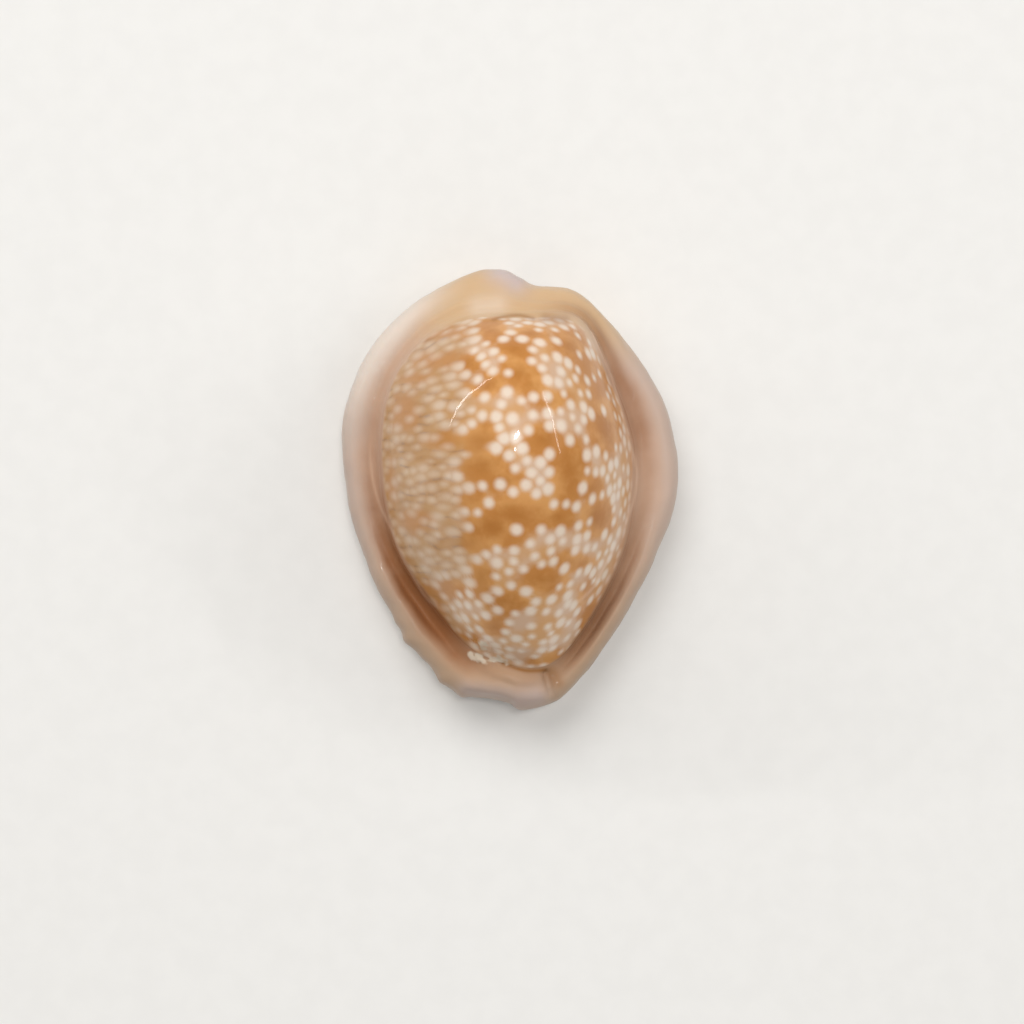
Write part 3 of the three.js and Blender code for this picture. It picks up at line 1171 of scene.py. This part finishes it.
class Sheet:
    """The node tree of one material."""

    def __init__(self, name: str) -> None:
        """Makes an empty material.

        Args:
            name: the material's name.
        """
        self.material = bpy.data.materials.new(name)
        self.material.use_nodes = True
        self.tree = self.material.node_tree
        self.tree.nodes.clear()

    def add(
        self,
        kind: str,
        settings: dict[str, Any] | None = None,
        inputs: dict[int | str, Any] | None = None,
    ) -> bpy.types.Node:
        """Adds a node.

        Args:
            kind: the node's type.
            settings: its own settings, which are set first.
            inputs: a value or a link for each socket, by its name or number.

        Returns:
            The node.
        """
        node = self.tree.nodes.new(kind)
        for name, value in (settings or {}).items():
            setattr(node, name, value)
        for key, value in (inputs or {}).items():
            socket = value.socket if isinstance(value, Signal) else value
            if isinstance(socket, bpy.types.NodeSocket):
                self.tree.links.new(socket, node.inputs[key])
            else:
                node.inputs[key].default_value = socket
        return node

    def field(self, name: str) -> Signal:
        """A field that the piece's mesh carries."""
        node = self.add("ShaderNodeAttribute", {"attribute_name": name})
        return Signal(self, node.outputs["Fac"])

    def place(self, stretch: Scale = (1.0, 1.0, 1.0)) -> bpy.types.NodeSocket:
        """Object coordinates for a pattern.

        Args:
            stretch: scale along each axis, low where the pattern is drawn out.

        Returns:
            The coordinates.
        """
        where = self.add("ShaderNodeTexCoord").outputs["Object"]
        if stretch == (1.0, 1.0, 1.0):
            return where
        return self.add("ShaderNodeMapping", {}, {"Vector": where, "Scale": stretch}).outputs[0]

    def cloud(
        self,
        size: float,
        detail: float = 2.0,
        stretch: Scale = (1.0, 1.0, 1.0),
    ) -> Signal:
        """Noise about 0, from -0.5 to 0.5.

        Args:
            size: width of a lump in millimetres.
            detail: how many finer layers it has.
            stretch: scale along each axis.

        Returns:
            The noise.
        """
        node = self.add(
            "ShaderNodeTexNoise",
            {"noise_dimensions": "3D"},
            {"Vector": self.place(stretch), "Scale": 1000.0 / size, "Detail": detail},
        )
        return Signal(self, node.outputs["Fac"]) - 0.5

    def blend(self, below: Any, above: Any, share: Signal) -> bpy.types.NodeSocket:
        """Lays one colour over another.

        Args:
            below: colour or socket where the share is 0.
            above: colour or socket where the share is 1.
            share: how much of the upper colour shows.

        Returns:
            The mixed colour.
        """
        node = self.add("ShaderNodeMix", {"data_type": "RGBA"}, {0: share, 6: below, 7: above})
        return node.outputs[2]

    def coats(self, below: Any, *coats: tuple[Any, Signal]) -> bpy.types.NodeSocket:
        """Lays several colours one over another.

        Args:
            below: colour or socket of the ground.
            *coats: each further colour or socket, with how much of it shows.

        Returns:
            The mixed colour.
        """
        for above, share in coats:
            below = self.blend(below, above, share)
        return below

    def surface(self, **sockets: Any) -> bpy.types.Material:
        """Closes the sheet with a surface shader.

        Args:
            **sockets: the shader's sockets, with a low line for each space in a name.

        Returns:
            The finished material.
        """
        inputs = {name.replace("_", " "): value for name, value in sockets.items()}
        shader = self.add("ShaderNodeBsdfPrincipled", {}, inputs)
        self.add("ShaderNodeOutputMaterial", {}, {"Surface": shader.outputs[0]})
        return self.material


# Finishes


@dataclass(frozen=True)
class Enamel:
    """The glossy enamel that covers the whole shell, with all its colours and its painted light
    and shade.
    """

    pale_ground: Paint = paint(203, 169, 141)
    tan_ground: Paint = paint(200, 152, 102)
    golden: Paint = paint(204, 148, 88)
    brown: Paint = paint(186, 126, 66)
    deep_brown: Paint = paint(168, 108, 48)
    spot: Paint = paint(224, 207, 189)
    smear_ground: Paint = paint(176, 130, 82)
    smear_pale: Paint = paint(188, 147, 101)
    smear_line: Paint = paint(142, 108, 84)
    veil: Paint = paint(202, 148, 108)
    margin_inner: Paint = paint(196, 163, 139)
    margin_outer: Paint = paint(190, 167, 152)
    # painted light on the labral margin, partly its own paler tone, and the pale pad
    margin_pale: Paint = paint(225, 212, 199)
    # painted shade towards the anterior end, partly the callus's own darker tone
    margin_tone_and_shade: Paint = paint(168, 138, 108)
    cream: Paint = paint(201, 168, 129)
    # the troughs: partly the shell's own brown, partly painted shade
    trough: Paint = paint(142, 93, 58)
    lilac: Paint = paint(190, 176, 176)
    base: Paint = paint(224, 204, 182)
    gap: Paint = paint(188, 150, 118)
    tooth: Paint = paint(238, 229, 216)
    lining: Paint = paint(206, 190, 186)
    crust: Paint = paint(206, 192, 172)
    # painted shade: dark brown laid in the creases where the callus overhangs the dome
    painted_crease_shade: Paint = paint(140, 92, 42)
    # painted reflection: a thin pale line where a lamp's edge shows in the gloss
    border_reflection: Paint = paint(224, 190, 164)
    roughness: float = 0.24
    margin_roughness: float = 0.38
    coat: float = 0.34
    margin_coat: float = 0.06
    coat_roughness: float = 0.035
    ior: float = 1.45
    specular: float = 0.18
    glow: float = 0.12
    glow_reach: Scale = (0.0007, 0.0004, 0.00025)
    bump: float = 0.25
    grain_height: float = 0.00006
    streak: Scale = (0.22, 1.0, 0.22)

    def dress(self, piece: bpy.types.Object) -> None:
        """Gives a piece this finish.

        Args:
            piece: the mesh object to dress.
        """
        sheet = Sheet("shell_enamel")
        place = sheet.field("place")
        edge = sheet.field("border") + 0.02 * sheet.cloud(0.6)
        crust = sheet.field("crust") + 0.6 * sheet.cloud(0.22, 3.0)
        colour = sheet.coats(
            self._dome(sheet),
            (self._margin(sheet, place), edge.step(-0.012, 0.016)),
            # painted shade in the creases at both ends of the dome
            (self.painted_crease_shade, 0.85 * sheet.field("painted_crease_shade")),
            # painted reflection along the dome's border
            (self.border_reflection, 0.32 * sheet.field("border_reflection")),
            (self._under(sheet, place), (place + 0.06 * sheet.cloud(1.2)).step(2.0, 2.2)),
            (self.crust, 0.8 * crust.step(0.18, 0.75)),
        )
        outside = place.step(1.0, 1.12)
        rough = self.roughness + (self.margin_roughness - self.roughness) * outside
        rough += 0.1 * sheet.cloud(1.5) + 0.3 * sheet.field("crust")
        grain = 0.5 * sheet.cloud(0.9, 3.0) + 0.12 * sheet.cloud(0.16, 2.0)
        bump = sheet.add(
            "ShaderNodeBump",
            {},
            {"Strength": self.bump, "Distance": self.grain_height, "Height": grain},
        )
        piece.data.materials.append(
            sheet.surface(
                Base_Color=colour,
                Roughness=rough,
                Normal=bump.outputs[0],
                IOR=self.ior,
                Specular_IOR_Level=self.specular,
                Coat_Weight=self.coat - (self.coat - self.margin_coat) * outside,
                Coat_Roughness=self.coat_roughness,
                Subsurface_Weight=self.glow,
                Subsurface_Radius=self.glow_reach,
                Subsurface_Scale=1.0,
            )
        )

    def _dome(self, sheet: Sheet) -> bpy.types.NodeSocket:
        """Paints the dome: brown patches, pale spots, and the labral smear.

        Args:
            sheet: the material's sheet.

        Returns:
            The colour.
        """
        depth = sheet.field("brown") + 0.7 * sheet.cloud(1.1, 3.0) + 0.2 * sheet.cloud(0.3)
        gap = sheet.field("spot") + 0.07 * sheet.cloud(0.35)
        tan = sheet.cloud(2.2).step(-0.12, 0.14)
        toned = sheet.blend(self.golden, self.brown, sheet.cloud(1.6, 3.0).step(-0.14, 0.1))
        spotted = sheet.coats(
            self.pale_ground,
            (self.tan_ground, tan),
            (toned, depth.step(-0.4, 0.2)),
            (self.deep_brown, 0.8 * depth.step(0.1, 1.1)),
            (self.spot, 0.92 * gap.step(0.2, -0.19)),
        )
        sway = 0.5 * sheet.cloud(1.0, 3.0, (0.5, 1.0, 0.5))
        wave = ((sheet.field("row") + sway) * FULL_TURN).cosine()
        lines = wave.step(-0.4, -1.0) * sheet.cloud(0.8, 3.0).step(-0.04, 0.14)
        faint = gap.step(0.22, -0.2) * (1.0 + 0.9 * sheet.cloud(1.1))
        smeared = sheet.coats(
            self.smear_ground,
            (self.smear_pale, 0.6 * sheet.cloud(1.8).step(-0.15, 0.15)),
            (self.smear_pale, 0.4 * wave.step(-0.4, 0.9)),
            (self.smear_line, 0.5 * lines),
            (self.smear_pale, 0.5 * sheet.cloud(0.5, 1.0, self.streak).step(-0.02, 0.14)),
            (self.brown, 0.75 * depth.step(-0.3, 0.5)),
            (self.spot, 0.4 * faint),
        )
        veil = sheet.field("veil") + 0.3 * sheet.cloud(1.4)
        return sheet.coats(
            spotted, (smeared, sheet.field("smear")), (self.veil, 0.5 * veil.step(0.1, 1.0))
        )

    def _margin(self, sheet: Sheet, place: Signal) -> bpy.types.NodeSocket:
        """Paints the callus: pink to pale outwards, cream behind, troughs darkened partly by the
        shell's own brown and partly by painted shade, and painted light on the labral side behind
        and painted shade in front, each partly the callus's own tone.

        Args:
            sheet: the material's sheet.
            place: place on the way over the skin.

        Returns:
            The colour.
        """
        layers = sheet.cloud(0.35, 1.0, (1.0, 0.12, 1.0))
        outward = (place + 0.35 * sheet.cloud(3.0) + 0.18 * layers).step(1.15, 1.85)
        trough = sheet.field("trough") * (1.0 + 0.5 * sheet.cloud(1.3))
        return sheet.coats(
            self.margin_inner,
            (self.margin_outer, outward),
            # painted shade towards the anterior end, partly the callus's own tone
            (self.margin_tone_and_shade, 0.75 * sheet.field("front_tone_and_shade")),
            (self.cream, 0.9 * sheet.field("cream")),
            # painted light on the labral margin, and the pale pad
            (self.margin_pale, 0.8 * sheet.field("pale")),
            # troughs: partly the shell's own brown, partly painted shade
            (self.trough, trough.step(0.0, 1.0)),
            (self.lilac, 0.8 * sheet.field("lilac")),
        )

    def _under(self, sheet: Sheet, place: Signal) -> bpy.types.NodeSocket:
        """Paints the base, the teeth and the hollow.

        Args:
            sheet: the material's sheet.
            place: place on the way over the skin.

        Returns:
            The colour.
        """
        tooth = sheet.field("tooth")
        lips = sheet.blend(self.gap, self.tooth, tooth.step(0.15, 0.7))
        return sheet.coats(
            self.base,
            (self.margin_inner, 0.4 * sheet.cloud(3.5).step(-0.2, 0.2)),
            (lips, place.step(2.66, 2.9)),
            (self.lining, place.step(3.2, 3.5)),
        )


@dataclass(frozen=True)
class Paper:
    """The plain pale surface that the shell lies on."""

    colour: Paint = paint(226, 224, 220)
    fleck: Paint = paint(224, 222, 218)

    def dress(self, piece: bpy.types.Object) -> None:
        """Gives a piece this finish.

        Args:
            piece: the mesh object to dress.
        """
        sheet = Sheet("pale_paper")
        tint = sheet.blend(self.colour, self.fleck, sheet.cloud(1.5).step(-0.2, 0.2))
        piece.data.materials.append(sheet.surface(Base_Color=tint, Roughness=0.9))


# The shell and its studio


def show(name: str, data: bpy.types.ID) -> bpy.types.Object:
    """Puts a mesh, a light or a camera in the scene.

    Args:
        name: the object's name.
        data: what the object shows.

    Returns:
        The new object.
    """
    item = bpy.data.objects.new(name, data)
    bpy.context.scene.collection.objects.link(item)
    return item


@dataclass
class CowrieShell:
    """The cowrie, made of one skin."""

    low: Vector
    high: Vector
    plan: Plan = field(default_factory=Plan)
    slit: Slit = field(default_factory=Slit)
    dome: Dome = field(default_factory=Dome)
    margin: Margin = field(default_factory=Margin)
    base: Base = field(default_factory=Base)
    lips: Lips = field(default_factory=Lips)
    hollow: Hollow = field(default_factory=Hollow)
    relief: Relief = field(default_factory=Relief)
    pigment: Pigment = field(default_factory=Pigment)
    finish: Enamel = field(default_factory=Enamel)

    @property
    def metres(self) -> float:
        """Metres to a drawn millimetre, from the frame's height."""
        return (self.high.z - self.low.z) / DRAWN_HEIGHT

    def draw(self, stations: Stations) -> Skin:
        """Draws the smooth skin through the stations.

        Args:
            stations: the stations round the shell.

        Returns:
            The skin, before its relief.
        """
        rings = self.dome.rings(stations) + self.margin.rings(stations, self.dome)
        rings += self.base.rings(stations, self.margin) + self.lips.rings(stations)
        return Skin.over(rings + self.hollow.rings(stations, self.dome))

    def build(self) -> bpy.types.Object:
        """Builds the shell and dresses it.

        Returns:
            The finished piece, riding on the frame.
        """
        stations = self.plan.stations(self.slit)
        skin = self.draw(stations)
        self.relief.press(skin, stations)
        fields = self.pigment.fields(skin, stations)
        piece = self._push(skin, fields)
        self.finish.dress(piece)
        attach(piece, "root")
        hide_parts("shell")
        return piece

    def _push(self, skin: Skin, fields: dict[str, Field]) -> bpy.types.Object:
        """Pushes a sphere onto the skin and hangs the colour fields on its mesh.

        Args:
            skin: the skin.
            fields: the colour fields by name.

        Returns:
            The shell as a mesh object.
        """
        rows, columns = skin.spread.shape
        work = bmesh.new()
        bmesh.ops.create_uvsphere(work, u_segments=columns, v_segments=rows - 1, radius=1.0)
        ball = np.array([vert.co for vert in work.verts])
        row = np.rint(np.arccos(np.clip(ball[:, 2], -1, 1)) / math.pi * (rows - 1)).astype(int)
        turn = np.arctan2(ball[:, 1], ball[:, 0]) / FULL_TURN
        column = np.rint(turn * columns).astype(int) % columns
        places = self._settle(skin.points)[row, column]
        for vert, place in zip(work.verts, places):
            vert.co = place
        bmesh.ops.recalc_face_normals(work, faces=work.faces)
        mesh = bpy.data.meshes.new("cowrie_shell")
        work.to_mesh(mesh)
        work.free()
        mesh.shade_smooth()
        for name, values in fields.items():
            layer = mesh.attributes.new(name, "FLOAT", "POINT")
            layer.data.foreach_set("value", values[row, column].astype(np.float32))
        return show("cowrie_shell", mesh)

    def _settle(self, points: Field) -> Field:
        """Sets the skin down in the frame's box.

        Args:
            points: the skin's points in drawn millimetres.

        Returns:
            The points in metres, centred on the box and standing on its floor.
        """
        low, high = points.min(axis=(0, 1)), points.max(axis=(0, 1))
        middle = (self.low + self.high) / 2
        spot = np.array([(low[0] + high[0]) / 2, (low[1] + high[1]) / 2, low[2]])
        return (points - spot) * self.metres + (middle.x, middle.y, self.low.z)


class Lamp(Enum):
    """The lamps: azimuth, elevation, distance, width, depth, roll, power, seen in gloss."""

    KEY = (-20.0, 54.0, 0.42, 0.30, 0.30, 0.0, 1.01, False)
    FILL = (160.0, 45.0, 0.45, 0.34, 0.34, 0.0, 0.19, False)
    SIDE = (70.0, 35.0, 0.45, 0.30, 0.30, 0.0, 0.27, False)
    GLINT = (38.0, 83.0, 0.60, 0.042, 0.105, -20.0, 0.72, True)
    SECOND_GLINT = (167.0, 86.0, 0.60, 0.034, 0.034, 0.0, 0.3, True)
    LABRAL_STRIP = (-58.0, 24.0, 0.45, 0.40, 0.014, -29.0, 0.34, True)
    COLUMELLAR_STRIP = (73.5, 33.5, 0.46, 0.34, 0.013, 12.0, 0.22, True)


@dataclass
class Studio:
    """A pale surface, soft lamps and the camera straight above the shell."""

    low: Vector
    high: Vector
    lens: float = 100.0
    view_width: float = 0.0561
    offset: tuple[float, float] = (0.00011, -0.00118)
    margin_height: float = 0.003
    sky: float = 0.24
    floor_size: float = 6.0
    paper: Paper = field(default_factory=Paper)

    def build(self) -> list[bpy.types.Object]:
        """Sets the studio up.

        Returns:
            The floor, the lamps and the camera.
        """
        scene = bpy.context.scene
        scene.view_settings.view_transform = "Standard"
        world = bpy.data.worlds.new("soft_room")
        world.use_nodes = True
        room = world.node_tree.nodes["Background"]
        room.inputs["Color"].default_value = (1.0, 1.0, 1.0, 1.0)
        room.inputs["Strength"].default_value = self.sky
        scene.world = world
        return [self._floor(), *(self._lamp(lamp) for lamp in Lamp), self._camera()]

    def _floor(self) -> bpy.types.Object:
        """Lays the pale surface under the shell.

        Returns:
            The floor.
        """
        work = bmesh.new()
        bmesh.ops.create_grid(work, x_segments=1, y_segments=1, size=self.floor_size / 2)
        bmesh.ops.translate(work, verts=work.verts, vec=(0.0, 0.0, self.low.z))
        mesh = bpy.data.meshes.new("pale_floor")
        work.to_mesh(mesh)
        work.free()
        floor = show("pale_floor", mesh)
        self.paper.dress(floor)
        return floor

    def _lamp(self, lamp: Lamp) -> bpy.types.Object:
        """Sets up one lamp, turned to the shell.

        Args:
            lamp: which lamp.

        Returns:
            The lamp.
        """
        azimuth, elevation, distance, width, depth, roll, power, shows = lamp.value
        light = bpy.data.lights.new(f"{lamp.name.lower()}_lamp", "AREA")
        light.shape = "ELLIPSE"
        light.size = width
        light.size_y = depth
        light.energy = power
        turn, tilt = math.radians(azimuth), math.radians(elevation)
        away = Vector(
            (math.sin(turn) * math.cos(tilt), math.cos(turn) * math.cos(tilt), math.sin(tilt))
        )
        stand = show(light.name, light)
        stand.location = (self.low + self.high) / 2 + away * distance
        turned = away.to_track_quat("Z", "Y") @ Quaternion((0.0, 0.0, 1.0), math.radians(roll))
        stand.rotation_euler = turned.to_euler()
        stand.visible_glossy = shows
        return stand

    def _camera(self) -> bpy.types.Object:
        """Sets up the camera, which looks straight down.

        Returns:
            The camera.
        """
        data = bpy.data.cameras.new("overhead_camera")
        data.lens = self.lens
        camera = show("overhead_camera", data)
        distance = self.view_width / data.sensor_width * self.lens
        middle = (self.low + self.high) / 2
        height = self.low.z + self.margin_height + distance
        camera.location = (middle.x + self.offset[0], middle.y + self.offset[1], height)
        data.clip_start = 0.01
        data.clip_end = 10.0
        bpy.context.scene.camera = camera
        return camera


def main() -> None:
    """Builds the shell and its studio, and reports each piece."""
    logging.basicConfig(level=logging.INFO, format="%(name)s: %(message)s")
    low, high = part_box("shell")
    shell = CowrieShell(low, high).build()
    LOG.info("%s: %d faces", shell.name, len(shell.data.polygons))
    for item in Studio(low, high).build():
        LOG.info("%s: %s", item.name, item.type.lower())


if __name__ == "__main__":
    main()
